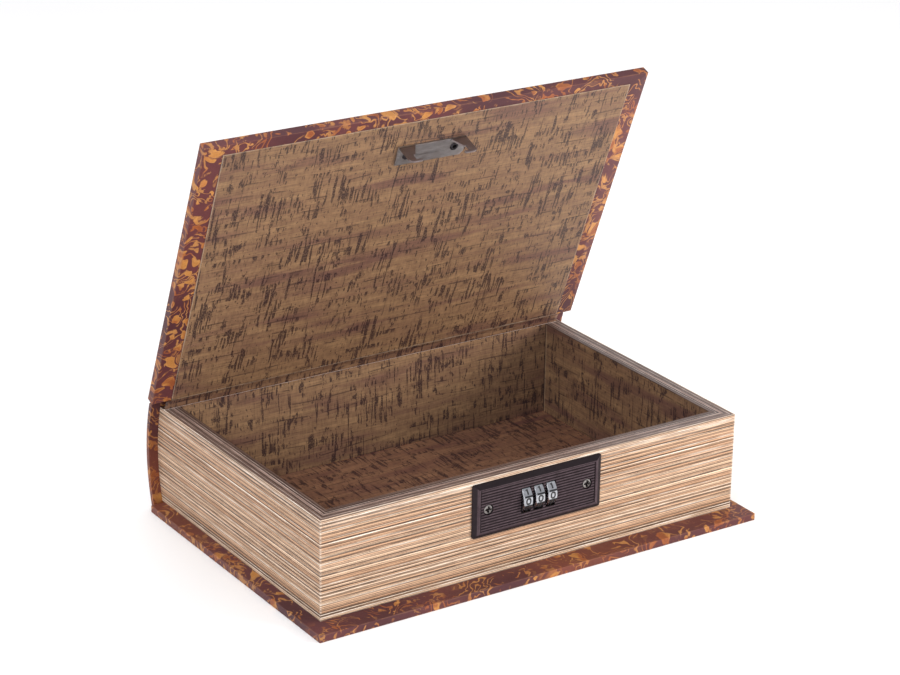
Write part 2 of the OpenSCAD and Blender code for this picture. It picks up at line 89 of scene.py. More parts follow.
class Net:
    """Adds nodes to one node tree and joins them up."""

    def __init__(self, tree):
        self.tree = tree

    def add(self, kind, values=(), **settings):
        node = self.tree.nodes.new("ShaderNode" + kind)
        for key, value in settings.items():
            setattr(node, key, value)
        for key, value in dict(values).items():
            self.put(node.inputs[key], value)
        return node

    def put(self, socket, value):
        if isinstance(value, bpy.types.NodeSocket):
            self.tree.links.new(value, socket)
        elif isinstance(value, tuple) and len(value) == 3 and len(socket.default_value) == 4:
            socket.default_value = (*value, 1)
        else:
            socket.default_value = value

    def math(self, operation, *values, clamp=False):
        node = self.add("Math", operation=operation, use_clamp=clamp)
        for socket, value in zip(node.inputs, values):
            self.put(socket, value)
        return node.outputs[0]

    def times(self, a, b):
        return self.math("MULTIPLY", a, b)

    def plus(self, a, b):
        return self.math("ADD", a, b)

    def minus(self, a, b):
        return self.math("SUBTRACT", a, b)

    def rest(self, share):
        return self.math("SUBTRACT", 1.0, share)

    def most(self, a, b):
        return self.math("MAXIMUM", a, b)

    def least(self, a, b):
        return self.math("MINIMUM", a, b)

    def size(self, value):
        return self.math("ABSOLUTE", value)

    def pick(self, mask, a, b):
        """a where the mask is 1, and b where it is 0."""
        return self.plus(self.times(a, mask), self.times(b, self.rest(mask)))

    def vector(self, operation, *values):
        node = self.add("VectorMath", operation=operation)
        for socket, value in zip(node.inputs, values):
            self.put(socket, value)
        return node.outputs["Value" if operation == "LENGTH" else "Vector"]

    def scaled(self, vector, factor):
        node = self.add("VectorMath", {"Vector": vector, "Scale": factor}, operation="SCALE")
        return node.outputs["Vector"]

    def parts(self, vector):
        return self.add("SeparateXYZ", {"Vector": vector}).outputs

    def joined(self, x, y, z=0.0):
        return self.add("CombineXYZ", {"X": x, "Y": y, "Z": z}).outputs[0]

    def ramp(self, value, low, high, out_low=0.0, out_high=1.0, kind="LINEAR"):
        """Carries low..high over to out_low..out_high in a straight line."""
        node = self.add("MapRange", {"Value": value, "From Min": low, "From Max": high,
                                     "To Min": out_low, "To Max": out_high},
                        interpolation_type=kind)
        return node.outputs[0]

    def step(self, value, low, high, out_low=0.0, out_high=1.0):
        """The same with soft ends."""
        return self.ramp(value, low, high, out_low, out_high, "SMOOTHSTEP")

    def noise(self, vector, scale, detail=2.0, rough=0.5, out="Fac"):
        node = self.add("TexNoise", {"Vector": vector, "Scale": scale, "Detail": detail,
                                     "Roughness": rough})
        return node.outputs[out]

    def blend(self, share, a, b):
        """Colour a going over to colour b as the share goes from 0 to 1."""
        node = self.add("Mix", data_type="RGBA")
        for socket, value in ((node.inputs[0], share), (node.inputs[6], a), (node.inputs[7], b)):
            self.put(socket, value)
        return node.outputs[2]

    def use(self, group, **values):
        node = self.add("Group")
        node.node_tree = group
        for key, value in values.items():
            self.put(node.inputs[key], value)
        return node.outputs

    def give(self, **values):
        """Puts a node group's results on its outputs."""
        for key, value in values.items():
            self.put(self.ends[key], value)


def effect(name, inputs, outputs):
    """A node group with named inputs and outputs: the group, its net and its input sockets."""
    group = bpy.data.node_groups.new(name, "ShaderNodeTree")
    for label, default in inputs.items():
        kind = "NodeSocketVector" if isinstance(default, tuple) else "NodeSocketFloat"
        socket = group.interface.new_socket(label, in_out="INPUT", socket_type=kind)
        socket.default_value = default
    for label in outputs:
        group.interface.new_socket(label, in_out="OUTPUT", socket_type="NodeSocketFloat")
    net = Net(group)
    ins = group.nodes.new("NodeGroupInput").outputs
    net.ends = group.nodes.new("NodeGroupOutput").inputs
    return group, net, ins


# ---------- Shared effects ----------

def make_page_leaves():
    """Thin irregular leaves: the lines between them, a tone for each, bright edges and a height."""
    group, net, ins = effect(
        "page_leaves", {"Across": 0.0, "Along": 0.0, "Pitch": 0.0011},
        ("Line", "Tone", "Height", "Glint"))
    across, along, pitch = ins["Across"], ins["Along"], ins["Pitch"]
    drift = net.noise(net.joined(net.times(along, 11.0), net.times(across, 120.0)), 1.0, 2.0)
    drift = net.times(net.minus(drift, 0.5), 0.0007)
    place = net.math("DIVIDE", net.plus(across, drift), pitch)
    strength = net.noise(net.joined(net.times(along, 42.0), place), 1.0, 3.0, 0.65)
    weight = net.noise(net.joined(net.times(along, 6.0), net.times(place, 0.45), 4.0), 1.0, 1.0)
    lines, tones = [], []
    for share, offset in ((1.0, 0.0), (2.3, 11.0)):
        leaf = {"W": net.math("MULTIPLY_ADD", place, share, offset),
                "Scale": 1.0, "Randomness": 0.85}
        edge = net.add("TexVoronoi", leaf, feature="DISTANCE_TO_EDGE", voronoi_dimensions="1D")
        cell = net.add("TexVoronoi", leaf, feature="F1", voronoi_dimensions="1D")
        lines.append(net.step(edge.outputs["Distance"], 0.14, 0.27, 1.0, 0.0))
        tones.append(net.parts(cell.outputs["Color"])[0])
    coarse = net.times(lines[0], net.step(strength, 0.36, 0.5, 0.62, 1.0))
    coarse = net.times(coarse, net.step(weight, 0.35, 0.6, 0.6, 1.0))
    fine = net.times(lines[1], net.step(strength, 0.35, 0.65, 0.95, 0.5))
    line = net.most(coarse, fine)
    tone = net.plus(net.times(tones[0], 0.55), net.times(tones[1], 0.45))
    glint = net.times(net.step(tones[1], 0.5, 0.8), net.step(strength, 0.4, 0.62, 0.2, 1.0))
    net.give(Line=line, Tone=tone, Glint=net.times(glint, net.rest(line)),
             Height=net.minus(net.times(tone, 0.35), line))
    return group


def make_marbling():
    """Scrolling veins, rimmed blobs and flecks over a plain ground, with a broad wash."""
    group, net, ins = effect(
        "marbling", {"Position": (0.0, 0.0, 0.0), "Blobs": 0.5},
        ("Vein", "Blob", "Rim", "Tint", "Cloud", "Wash"))
    spot = bent = ins["Position"]
    for scale, reach in ((75.0, 0.012), (230.0, 0.0055)):
        push = net.vector("SUBTRACT", net.noise(bent, scale, 1.0, out="Color"), (0.5, 0.5, 0.5))
        bent = net.vector("ADD", bent, net.scaled(push, reach))
    region = net.noise(spot, 24.0, 1.0)
    swirl = net.noise(bent, 90.0, 0.0, 0.5)
    ring = net.size(net.minus(net.math("FRACT", net.times(swirl, 8.0)), 0.5))
    vein = net.times(net.step(ring, 0.07, 0.17, 1.0, 0.0),
                     net.step(net.noise(bent, 120.0, 1.0), 0.43, 0.5))
    fleck = net.step(net.noise(bent, 260.0, 2.0, 0.6), 0.57, 0.61)
    fleck = net.times(fleck, net.step(region, 0.42, 0.6))
    cell = net.add("TexVoronoi", {"Vector": bent, "Scale": 170.0, "Randomness": 1.0}, feature="F1")
    picked = net.parts(cell.outputs["Color"])
    reach = net.ramp(picked[1], 0.0, 1.0, 0.26, 0.56)
    share = net.math("DIVIDE", cell.outputs["Distance"], reach)
    often = net.times(ins["Blobs"], net.ramp(region, 0.3, 0.7, 0.35, 1.6))
    chosen = net.math("LESS_THAN", picked[0], often)
    blob = net.times(net.step(share, 0.85, 1.0, 1.0, 0.0), chosen)
    rim = net.times(net.step(net.size(net.minus(share, 0.84)), 0.05, 0.17, 1.0, 0.0), chosen)
    net.give(Vein=net.most(vein, net.times(fleck, 0.8)), Blob=blob, Rim=rim,
             Tint=net.noise(bent, 130.0, 2.0), Cloud=region,
             Wash=net.step(net.noise(spot, 9.0, 1.0), 0.52, 0.66))
    return group


def make_bamboo_print():
    """Printed bamboo: soft bands along U, fine grain, upright strokes, blots and thin seams."""
    group, net, ins = effect(
        "bamboo_print", {"U": 0.0, "V": 0.0},
        ("Patch", "Grain", "Dash", "Line", "Cloud"))

    def at(u_scale, v_scale, shift=0.0):
        return net.joined(net.math("MULTIPLY_ADD", u, u_scale, shift),
                          net.math("MULTIPLY_ADD", v, v_scale, shift * 0.7), shift)

    def field(u_scale, v_scale, shift, detail=2.0, rough=0.5):
        return net.noise(at(u_scale, v_scale, shift), 1.0, detail, rough)

    u, v = ins["U"], ins["V"]
    sway = net.times(net.minus(field(60.0, 120.0, 31.0, 1.0), 0.5), 0.001)
    u = net.plus(u, sway)

    # Upright hatching: close thin strokes, only inside ragged patches
    strokes = net.step(field(780.0, 50.0, 1.0, 1.0), 0.5, 0.545)
    inside = net.step(field(75.0, 62.0, 4.0, 3.0, 0.6), 0.53, 0.555)
    hatch = net.times(strokes, inside)
    # Single long strokes standing alone
    lone = net.times(net.step(field(560.0, 30.0, 9.0, 1.0), 0.625, 0.65),
                     net.step(field(30.0, 40.0, 12.0, 1.0), 0.42, 0.56))
    # Heavy blots, taller than wide
    blot = net.step(field(250.0, 72.0, 13.0, 4.0, 0.7), 0.6, 0.62)
    # Specks
    speck = net.step(field(640.0, 330.0, 17.0, 2.0, 0.6), 0.64, 0.67)
    # Ticks that hang in a row under a seam
    row = net.plus(net.math("DIVIDE", v, 0.0078), net.times(field(14.0, 9.0, 21.0, 1.0), 1.1))
    rise = net.math("FRACT", net.plus(row, 60.0))
    ticks = net.times(net.step(field(640.0, 40.0, 23.0, 1.0), 0.54, 0.58),
                      net.step(rise, 0.22, 0.5, 1.0, 0.0))
    ticks = net.times(ticks, net.step(field(60.0, 50.0, 26.0, 1.0), 0.5, 0.58))
    seam = net.times(net.step(rise, 0.06, 0.11, 1.0, 0.0),
                     net.step(field(75.0, 60.0, 3.0, 2.0), 0.5, 0.6))

    dash = net.most(net.most(hatch, lone), net.most(blot, ticks))
    broken = net.step(field(1400.0, 1000.0, 2.0, 1.0), 0.34, 0.52, 0.4, 1.0)
    dash = net.most(net.times(dash, broken), net.times(speck, 0.8))
    streak = field(60.0, 1300.0, 0.0, 3.0, 0.6)
    pore = field(1000.0, 300.0, 3.5)
    net.give(Patch=field(28.0, 210.0, 41.0, 1.0), Dash=dash, Line=seam,
             Grain=net.plus(net.times(streak, 0.65), net.times(pore, 0.35)),
             Cloud=field(11.0, 85.0, 7.0))
    return group


def make_edge_band():
    """A mask along the edges of a block between two corners, broken up unevenly: it marks wear, and
    on the lock plate a painted edge highlight.
    """
    group, net, ins = effect(
        "edge_band",
        {"Position": (0.0, 0.0, 0.0), "Low": (-1.0, -1.0, -1.0), "High": (1.0, 1.0, 1.0),
         "Width": 0.001, "Breakup": 300.0},
        ("Mask",))
    near = net.vector("MINIMUM", net.vector("SUBTRACT", ins["Position"], ins["Low"]),
                      net.vector("SUBTRACT", ins["High"], ins["Position"]))
    x, y, z = net.parts(near)
    second = net.most(net.least(x, y), net.least(net.most(x, y), z))
    rough = net.noise(ins["Position"], ins["Breakup"], 3.0, 0.6)
    reach = net.times(ins["Width"], net.ramp(rough, 0.3, 0.7, 0.2, 1.8))
    net.give(Mask=net.math("SUBTRACT", 1.0, net.math("DIVIDE", second, reach), clamp=True))
    return group


def make_fine_grain():
    """Even fine grain, stretched by Stretch: a value and a height."""
    group, net, ins = effect(
        "fine_grain",
        {"Position": (0.0, 0.0, 0.0), "Stretch": (1.0, 1.0, 1.0), "Scale": 800.0},
        ("Value", "Height"))
    spot = net.vector("MULTIPLY", ins["Position"], ins["Stretch"])
    fine = net.noise(spot, ins["Scale"], 4.0, 0.6)
    broad = net.noise(spot, net.times(ins["Scale"], 0.13), 2.0)
    net.give(Value=net.plus(net.times(fine, 0.6), net.times(broad, 0.4)), Height=fine)
    return group


page_leaves = make_page_leaves()
marbling = make_marbling()
bamboo_print = make_bamboo_print()
edge_band = make_edge_band()
fine_grain = make_fine_grain()


# ---------- Finishes ----------

def finish_for(name, **sockets):
    """A new material: the material, its net, its Principled shader and its coordinates."""
    material = bpy.data.materials.new(name)
    material.use_nodes = True
    material.node_tree.nodes.clear()
    net = Net(material.node_tree)
    shader = net.add("BsdfPrincipled")
    for key, value in sockets.items():
        net.put(shader.inputs[key.replace("_", " ")], value)
    out = net.add("OutputMaterial")
    net.put(out.inputs["Surface"], shader.outputs[0])
    return material, net, shader, net.add("TexCoord").outputs


def join_up(net, shader, colour, rough, height, depth, strength=0.5):
    """Feeds a finish's colour, roughness and bump to its shader. depth is in metres."""
    net.put(shader.inputs["Base Color"], colour)
    net.put(shader.inputs["Roughness"], rough)
    dents = net.add("Bump", {"Height": height, "Distance": depth, "Strength": strength})
    net.put(shader.inputs["Normal"], dents.outputs[0])


def deeper(tone, share):
    """A darker tone of the same colour."""
    return tuple(part * share for part in tone)


def in_lid(net, position):
    """Turns a place in the box frame into the closed lid's own frame, from the hinge line."""
    node = net.add("Mapping", {"Vector": position, "Location": mm(0, HINGE_Y, HINGE_Z),
                               "Rotation": (-LID_OPEN, 0.0, 0.0)}, vector_type="TEXTURE")
    return node.outputs[0]


def laid_by(net, place, surface):
    """What a print is laid out by: UVs for a "strip", the lid's frame for "lid", else the box."""
    if surface == "strip":
        return place["UV"]
    if surface == "lid":
        return in_lid(net, place["Object"])
    return place["Object"]


def cover_paper(name, low, high, blobs, fineness, surface="box"):
    """Semi-gloss printed paper: gold veins and blobs on maroon, rubbed paler along the folds.

    low and high are the piece's corners, in the frame that the print is laid out in.
    """
    material, net, shader, place = finish_for(name, Specular_IOR_Level=0.32)
    spot = laid_by(net, place, surface)
    marks = net.use(marbling, Position=net.scaled(spot, fineness), Blobs=blobs)
    ground = net.blend(net.step(marks["Cloud"], 0.35, 0.65),
                       (0.066, 0.019, 0.024), (0.11, 0.03, 0.032))
    ground = net.blend(net.times(marks["Wash"], 0.38), ground, (0.27, 0.07, 0.022))
    gold = net.blend(net.step(marks["Tint"], 0.36, 0.62), (0.34, 0.1, 0.026), (0.54, 0.25, 0.072))
    colour = net.blend(net.times(marks["Vein"], 0.82), ground, gold)
    inner = net.blend(net.step(marks["Tint"], 0.42, 0.58), (0.29, 0.08, 0.022), (0.5, 0.215, 0.05))
    colour = net.blend(net.times(marks["Blob"], 0.9), colour, inner)
    colour = net.blend(net.times(marks["Rim"], 0.75), colour, gold)
    grain = net.use(fine_grain, Position=spot, Scale=1400.0)
    colour = net.blend(net.ramp(grain["Value"], 0.3, 0.7, 0.0, 0.4), colour, (0.045, 0.014, 0.014))
    wear_and_edge_highlight = net.use(edge_band, Position=spot, Low=low, High=high, Width=0.0005, Breakup=90.0)
    colour = net.blend(net.times(wear_and_edge_highlight["Mask"], 0.22), colour, (0.4, 0.22, 0.12))
    printed = net.most(marks["Vein"], marks["Blob"])
    rough = net.plus(net.math("MULTIPLY_ADD", printed, -0.05, 0.52),
                     net.times(net.minus(grain["Value"], 0.5), 0.25))
    rough = net.plus(rough, net.times(wear_and_edge_highlight["Mask"], 0.15))
    height = net.math("MULTIPLY_ADD", printed, 0.4, net.times(grain["Height"], 0.35))
    join_up(net, shader, colour, rough, height, 0.00008, 0.6)
    return material


def page_finish(name, rim):
    """Printed page edges. On the rim the leaves follow each wall and meet in mitres."""
    material, net, shader, place = finish_for(name)
    x, y, z = net.parts(place["Object"])
    from_side = net.minus(BLOCK_HALF * MM, net.size(x))
    from_front = net.plus(y, -BLOCK_FRONT * MM)
    if rim:
        on_front = net.math("LESS_THAN", from_front, from_side)
        across, along = net.least(from_side, from_front), net.pick(on_front, x, y)
        light, dark, deep = (0.4, 0.265, 0.22), (0.14, 0.08, 0.062), (0.014, 0.007, 0.006)
        stain, bright = (0.3, 0.2, 0.15), (0.64, 0.52, 0.46)
        smooth, rough = 0.34, 0.5
    else:
        across, along = z, net.minus(x, y)
        light, dark, deep = (0.88, 0.62, 0.43), (0.58, 0.335, 0.2), (0.025, 0.011, 0.007)
        stain, bright = (0.5, 0.3, 0.17), (0.98, 0.9, 0.8)
        smooth, rough = 0.62, 0.8
    leaf = net.use(page_leaves, Across=across, Along=along, Pitch=PAGE_PITCH * MM)
    colour = net.blend(net.step(leaf["Tone"], 0.2, 0.8), dark, light)
    spread = net.noise(net.joined(net.times(along, 18.0), net.times(across, 260.0)), 1.0, 2.0)
    colour = net.blend(net.step(spread, 0.4, 0.62, 0.0, 0.35), colour, stain)
    colour = net.blend(net.times(leaf["Line"], 0.9), colour, deep)
    colour = net.blend(net.times(leaf["Glint"], 0.8), colour, bright)
    fibre = net.use(fine_grain, Position=place["Object"], Stretch=(0.5, 0.5, 1.0), Scale=1900.0)
    colour = net.blend(net.ramp(fibre["Value"], 0.35, 0.65, 0.0, 0.22), colour, deep)
    if not rim:
        pale = net.step(net.most(from_side, from_front), 0.0002, 0.0012, 0.45, 0.0)
        colour = net.blend(net.times(pale, net.rest(leaf["Line"])), colour, (0.8, 0.68, 0.58))
    rough = net.ramp(fibre["Value"], 0.3, 0.7, smooth, rough)
    height = net.plus(leaf["Height"], net.times(fibre["Height"], 0.3))
    join_up(net, shader, colour, rough, height, 0.00016, 0.7)
    return material


def lining_finish(name, surface, painted_shade):
    """Printed bamboo lining. surface is "lid", "floor", "walls" or "strip" (laid out by UVs). The
    last argument scales the print's tones on each surface: painted shade and tint for how light
    falls there, darker on the lid and in the hinge crease.
    """
    material, net, shader, place = finish_for(name)
    spot = laid_by(net, place, surface)
    x, y, z = net.parts(spot)
    u, v = x, y
    if surface == "walls":
        facing = net.parts(place["Normal"])
        end_wall = net.math("GREATER_THAN", net.size(facing[0]), 0.5)
        lying = net.math("GREATER_THAN", net.size(facing[2]), 0.5)
        u = net.math("MULTIPLY_ADD", end_wall, 0.37, net.pick(end_wall, y, x))
        v = net.pick(lying, y, z)
    marks = net.use(bamboo_print, U=u, V=v)
    # Painted shade: the print's tones are scaled by this surface's own light and shade factor
    tan, mauve, straw, ink = (tuple(part * share for part, share in zip(tone, painted_shade)) for tone in (
        (0.25, 0.145, 0.072), (0.158, 0.078, 0.052), (0.325, 0.198, 0.095), (0.017, 0.006, 0.009)))
    colour = net.blend(net.step(marks["Cloud"], 0.32, 0.52), mauve, tan)
    colour = net.blend(net.step(marks["Patch"], 0.52, 0.66, 0.0, 0.25), colour, mauve)
    colour = net.blend(net.step(marks["Patch"], 0.34, 0.46, 0.5, 0.0), colour, straw)
    colour = net.blend(net.ramp(marks["Grain"], 0.32, 0.6, 0.75, 0.0), colour, deeper(mauve, 0.4))
    colour = net.blend(net.times(marks["Line"], 0.6), colour, ink)
    colour = net.blend(net.times(marks["Dash"], 0.88), colour, ink)
    if surface == "lid":
        rimmed = net.use(edge_band, Position=spot, Low=LINING_LOW, High=LINING_HIGH,
                         Width=0.0005, Breakup=120.0)
        colour = net.blend(net.times(rimmed["Mask"], 0.5), colour, (0.5, 0.4, 0.3))
    if surface == "walls":
        to_corner = net.minus(TRAY_HALF * MM, net.size(x))
        to_end = net.least(net.plus(y, -TRAY_FRONT * MM), net.minus(TRAY_BACK * MM, y))
        gap = net.pick(end_wall, to_end, to_corner)
        lip = net.step(net.size(net.minus(gap, 0.0009)), 0.0001, 0.0004, 0.4, 0.0)
        lipped = net.blend(net.times(lip, end_wall), colour, (0.45, 0.34, 0.22))
        seam = net.step(gap, 0.00015, 0.0005, 0.75, 0.0)
        colour = net.blend(seam, lipped, (0.03, 0.015, 0.015))
    if surface == "strip":
        ragged = net.noise(net.joined(net.times(u, 1500.0), 0.0), 1.0, 3.0, 0.7)
        cut = net.step(net.minus(v, net.times(ragged, 0.0005)), 0.0007, 0.0011, 1.0, 0.0)
        colour = net.blend(net.times(cut, 0.95), colour, (0.8, 0.7, 0.66))
    rough = net.ramp(marks["Grain"], 0.3, 0.7, 0.5, 0.68)
    height = net.minus(marks["Grain"], net.times(marks["Dash"], 0.4))
    join_up(net, shader, colour, rough, height, 0.00006)
    return material


def fibre_finish(name, light, dark):
    """Raw board: short tangled fibres and small dark flecks."""
    material, net, shader, place = finish_for(name)
    grain = net.use(fine_grain, Position=place["Object"], Stretch=(0.6, 0.6, 1.4), Scale=1100.0)
    fleck = net.step(net.noise(place["Object"], 900.0, 2.0), 0.64, 0.72)
    colour = net.blend(net.ramp(grain["Value"], 0.3, 0.7), dark, light)
    colour = net.blend(net.times(fleck, 0.5), colour, deeper(dark, 0.3))
    rough = net.ramp(grain["Value"], 0.3, 0.7, 0.85, 0.75)
    join_up(net, shader, colour, rough, grain["Height"], 0.0001, 0.6)
    return material


def metal_finish(name, light, dark, rough, stretch=(1.0, 1.0, 1.0), scale=900.0, depth=0.00002,
                 metallic=1.0):
    """Metal with brushed or cast grain, faint smudges and a little tarnish."""
    material, net, shader, place = finish_for(name, Metallic=metallic)
    grain = net.use(fine_grain, Position=place["Object"], Stretch=stretch, Scale=scale)
    smudge = net.noise(place["Object"], 190.0, 3.0, 0.6)
    colour = net.blend(net.ramp(grain["Value"], 0.35, 0.65), dark, light)
    colour = net.blend(net.step(smudge, 0.5, 0.75, 0.0, 0.3), colour, deeper(dark, 0.7))
    dulled = net.plus(net.ramp(grain["Value"], 0.3, 0.7, rough - 0.05, rough + 0.07),
                      net.step(smudge, 0.45, 0.8, 0.0, 0.1))
    join_up(net, shader, colour, dulled, grain["Height"], depth)
    return material


def striker_finish(name):
    """Satin zinc plate: a light flat, hooks bent up from it that are darkened with painted shade,
    and a painted shade line at each bend.
    """
    material, net, shader, place = finish_for(name, Metallic=1.0)
    spot = in_lid(net, place["Object"])
    grain = net.use(fine_grain, Position=spot, Stretch=(0.15, 1.0, 1.0), Scale=1800.0)
    smudge = net.noise(spot, 160.0, 2.0)
    height = net.parts(spot)[2]
    # Painted shade: the hooks bent up from the flat are coloured darker than the flat
    painted_hook_shade = net.step(height, -0.0052, -0.0045, 1.0, 0.0)
    # Painted shade: a near-black line along each bend, where shade falls in the crease
    painted_bend_shade = net.step(net.size(net.plus(height, 0.0045)), 0.0001, 0.0004, 0.7, 0.0)
    colour = net.blend(net.ramp(grain["Value"], 0.35, 0.65),
                       (0.36, 0.335, 0.335), (0.5, 0.47, 0.465))
    colour = net.blend(net.step(smudge, 0.4, 0.65, 0.0, 0.3), colour, (0.3, 0.24, 0.22))
    colour = net.blend(net.times(painted_hook_shade, 0.6), colour, (0.2, 0.145, 0.145))
    colour = net.blend(painted_bend_shade, colour, (0.05, 0.04, 0.04))
    rough = net.ramp(grain["Value"], 0.3, 0.7, 0.36, 0.5)
    join_up(net, shader, colour, rough, grain["Height"], 0.00002)
    return material


def chrome_finish(name):
    """Chromed number wheels, with black lines where their flats meet."""
    material, net, shader, place = finish_for(name, Metallic=1.0)
    grain = net.use(fine_grain, Position=place["Object"], Scale=700.0)
    _, y, z = net.parts(place["Object"])
    radius = net.vector("LENGTH", net.joined(0.0, net.minus(y, AXLE_Y * MM),
                                             net.minus(z, LOCK_Z * MM)))
    corner = net.step(radius, WHEEL_APOTHEM * 1.028 * MM, WHEEL_APOTHEM * 1.036 * MM)
    colour = net.blend(net.ramp(grain["Value"], 0.3, 0.7), (0.32, 0.33, 0.36), (0.56, 0.57, 0.6))
    colour = net.blend(net.times(corner, 0.92), colour, (0.01, 0.01, 0.012))
    rough = net.math("MULTIPLY_ADD", corner, 0.25, net.ramp(grain["Value"], 0.3, 0.7, 0.1, 0.2))
    join_up(net, shader, colour, rough, grain["Height"], 0.000006)
    return material


def screw_finish(name):
    """Steel screw heads with painted shade in the cross recess and a painted shadow ring round the
    head.
    """
    material, net, shader, place = finish_for(name, Metallic=1.0)
    grain = net.use(fine_grain, Position=place["Object"], Stretch=(1.0, 0.2, 1.0), Scale=2500.0)
    x, _, z = net.parts(place["Object"])
    across = net.minus(net.size(x), SCREW_X * MM)
    up = net.minus(z, LOCK_Z * MM)
    radius = net.vector("LENGTH", net.joined(across, up))
    narrow = net.least(net.size(across), net.size(up))
    # Painted shade: the cross recess is coloured near black, where shade falls in it
    painted_recess_shade = net.times(net.step(narrow, 0.00042, 0.00056, 1.0, 0.0),
                      net.step(radius, 0.0017, 0.0019, 1.0, 0.0))
    colour = net.blend(net.ramp(grain["Value"], 0.35, 0.65),
                       (0.2, 0.18, 0.175), (0.38, 0.355, 0.34))
    colour = net.blend(net.times(painted_recess_shade, 0.95), colour, (0.01, 0.008, 0.008))
    # Painted shadow: a darker ring round the head, where the counterbore shades it
    colour = net.blend(net.step(radius, 0.0021, 0.0023, 0.0, 0.5), colour, (0.1, 0.09, 0.09))
    rough = net.math("MULTIPLY_ADD", painted_recess_shade, 0.4, net.ramp(grain["Value"], 0.3, 0.7, 0.3, 0.42))
    join_up(net, shader, colour, rough, grain["Height"], 0.00002)
    return material


def plate_finish(name):
    """Satin plum-black paint, with painted shade in the sunk panel, painted darkening on faces
    turned up that stands in for a dim ceiling's reflection, and a lighter rim that is partly wear
    and partly a painted edge highlight.
    """
    material, net, shader, place = finish_for(name, Specular_IOR_Level=0.12)
    grain = net.use(fine_grain, Position=place["Object"], Scale=2600.0)
    colour = net.blend(net.ramp(grain["Value"], 0.3, 0.7),
                       (0.026, 0.016, 0.019), (0.08, 0.055, 0.064))
    # Painted shade: the sunk panel behind the front face is darkened towards near black
    painted_panel_shade = net.step(net.parts(place["Object"])[1], -0.08065, -0.0805)
    # Painted reflection: faces turned up are darkened, standing in for the dim ceiling they mirror
    painted_top_shade = net.step(net.parts(place["Normal"])[2], 0.06, 0.2)
    shaded = net.most(net.times(painted_panel_shade, 0.75), net.times(painted_top_shade, 0.9))
    colour = net.blend(shaded, colour, (0.005, 0.003, 0.004))
    # Partly wear and partly painted highlight: a lighter rim where the plate's edges catch light
    wear_and_edge_highlight = net.use(edge_band, Position=place["Object"], Low=PLATE_LOW, High=PLATE_HIGH,
                   Width=0.0004, Breakup=500.0)
    colour = net.blend(net.times(wear_and_edge_highlight["Mask"], 0.35), colour, (0.16, 0.13, 0.15))
    rough = net.ramp(grain["Value"], 0.3, 0.7, 0.42, 0.56)
    join_up(net, shader, colour, rough, grain["Height"], 0.00003)
    return material


# Lowest and highest corners that the edge bands follow (wear, and on the lock plate a painted edge
# highlight); the lid's and its lining's are in its frame
BASE_LOW, BASE_HIGH = mm(-128.7, -91.5, 0), mm(127.3, 75.9, 3.8)
LID_LOW, LID_HIGH = mm(-128.7, -164.05, -3), mm(127.3, -3, 1.8)
LINING_LOW, LINING_HIGH = mm(-117.7, -158.35, -3.25), mm(117.3, -3.3, 1)
STRIP_LOW, STRIP_HIGH = mm(-125.2, -100, -100), mm(125.2, 100, 100)
SPINE_LOW, SPINE_HIGH = mm(-126, 40, 0.2), mm(126, 84.4, 57.8)
PLATE_LOW, PLATE_HIGH = mm(-37.5, -81, 25.2), mm(37.5, -70, 53.2)

finishes = {
    "base_paper": cover_paper("base_paper", BASE_LOW, BASE_HIGH, 0.28, 0.8),
    "lid_paper": cover_paper("lid_paper", LID_LOW, LID_HIGH, 0.62, 0.85, "lid"),
    "spine_paper": cover_paper("spine_paper", SPINE_LOW, SPINE_HIGH, 0.45, 0.8),
    "fold_paper": cover_paper("fold_paper", STRIP_LOW, STRIP_HIGH, 0.45, 0.8, "strip"),
    "page_edge": page_finish("page_edge", rim=False),
    "page_rim": page_finish("page_rim", rim=True),
    # Each lining copy gets painted shade and tint for how light falls on it: the lid and the crease
    # darker
    "lid_bamboo": lining_finish("lid_bamboo", "lid", (0.93, 0.9, 0.92)),
    "wall_bamboo": lining_finish("wall_bamboo", "walls", (0.95, 0.94, 1.0)),
    "floor_bamboo": lining_finish("floor_bamboo", "floor", (1.02, 0.88, 1.0)),
    "crease_bamboo": lining_finish("crease_bamboo", "strip", (0.8, 0.74, 0.8)),
    "grey_board": fibre_finish("grey_board", (0.42, 0.36, 0.28), (0.3, 0.25, 0.19)),
    "fibreboard": fibre_finish("fibreboard", (0.42, 0.29, 0.17), (0.28, 0.18, 0.1)),
    "plum_black": plate_finish("plum_black"),
    "zinc": metal_finish("zinc", (0.42, 0.41, 0.43), (0.3, 0.29, 0.31), 0.5, depth=0.00005),
    "satin_steel": metal_finish("satin_steel", (0.5, 0.47, 0.46), (0.38, 0.355, 0.355), 0.42,
                                stretch=(0.08, 1.0, 1.0), scale=3000.0),
    "pin_steel": metal_finish("pin_steel", (0.6, 0.59, 0.6), (0.45, 0.44, 0.45), 0.28,
                              stretch=(1.0, 0.15, 1.0), scale=2500.0),
    "screw_steel": screw_finish("screw_steel"),
    "striker_zinc": striker_finish("striker_zinc"),
    "chrome": chrome_finish("chrome"),
    "brass": metal_finish("brass", (0.76, 0.55, 0.24), (0.6, 0.4, 0.16), 0.3,
                          stretch=(0.15, 1.0, 1.0), scale=2500.0),
    "black_steel": metal_finish("black_steel", (0.07, 0.06, 0.065), (0.03, 0.026, 0.03), 0.38,
                                metallic=0.7),
    "digit_black": metal_finish("digit_black", (0.012, 0.012, 0.014), (0.006, 0.006, 0.007), 0.45,
                                metallic=0.0),
}

